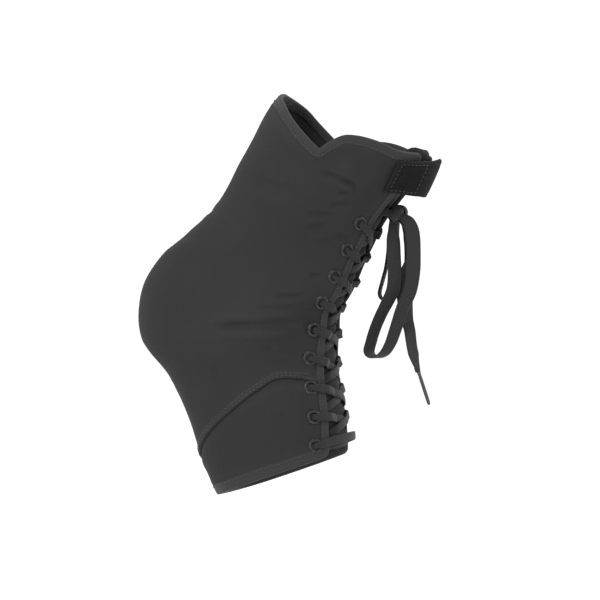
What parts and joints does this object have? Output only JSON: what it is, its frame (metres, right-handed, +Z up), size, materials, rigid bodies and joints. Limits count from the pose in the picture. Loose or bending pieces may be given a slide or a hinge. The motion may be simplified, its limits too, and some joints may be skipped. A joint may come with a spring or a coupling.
{
  "type": "lace-up ankle brace",
  "caption": "Open-toed, open-topped charcoal cloth ankle brace in its worn form, laced up the front over a tongue, with a bow and a dark strap across the shin.",
  "frame": {"origin": "middle of the ankle joint that the brace goes round", "axes": "+Z up with the foot on tiptoe, +X towards the toes, -Y the side that faces outwards on a right foot"},
  "size_m": [0.1899, 0.0818, 0.244],
  "materials": {
    "cloth": "matt charcoal padded cloth with a fine knit",
    "tongue_cloth": "matt dark padded cloth",
    "lace_yarn": "flat braided polyester",
    "strap_webbing": "near-black loop pile",
    "eyelet_enamel": "dark enamel",
    "aglet_plastic": "satin"
  },
  "bodies": {
    "root": {"outer_quarter": "cloth", "inner_quarter": "cloth", "outer_foot_panel": "cloth", "inner_foot_panel": "cloth", "tongue": "tongue_cloth", "top_strap": "strap_webbing", "knot": "lace_yarn", "lace_run_outer": "lace_yarn", "lace_run_inner": "lace_yarn", "bow_loop_front": "lace_yarn", "bow_loop_back": "lace_yarn", "lace_tail_front": "lace_yarn", "lace_tail_back": "lace_yarn", "aglet_front": "aglet_plastic", "aglet_back": "aglet_plastic", "outer_eyelet_1": "eyelet_enamel", "outer_eyelet_2": "eyelet_enamel", "outer_eyelet_3": "eyelet_enamel", "outer_eyelet_4": "eyelet_enamel", "outer_eyelet_5": "eyelet_enamel", "outer_eyelet_6": "eyelet_enamel", "outer_eyelet_7": "eyelet_enamel", "outer_eyelet_8": "eyelet_enamel", "outer_eyelet_9": "eyelet_enamel", "inner_eyelet_1": "eyelet_enamel", "inner_eyelet_2": "eyelet_enamel", "inner_eyelet_3": "eyelet_enamel", "inner_eyelet_4": "eyelet_enamel", "inner_eyelet_5": "eyelet_enamel", "inner_eyelet_6": "eyelet_enamel", "inner_eyelet_7": "eyelet_enamel", "inner_eyelet_8": "eyelet_enamel", "inner_eyelet_9": "eyelet_enamel"}
  },
  "joints": []
}
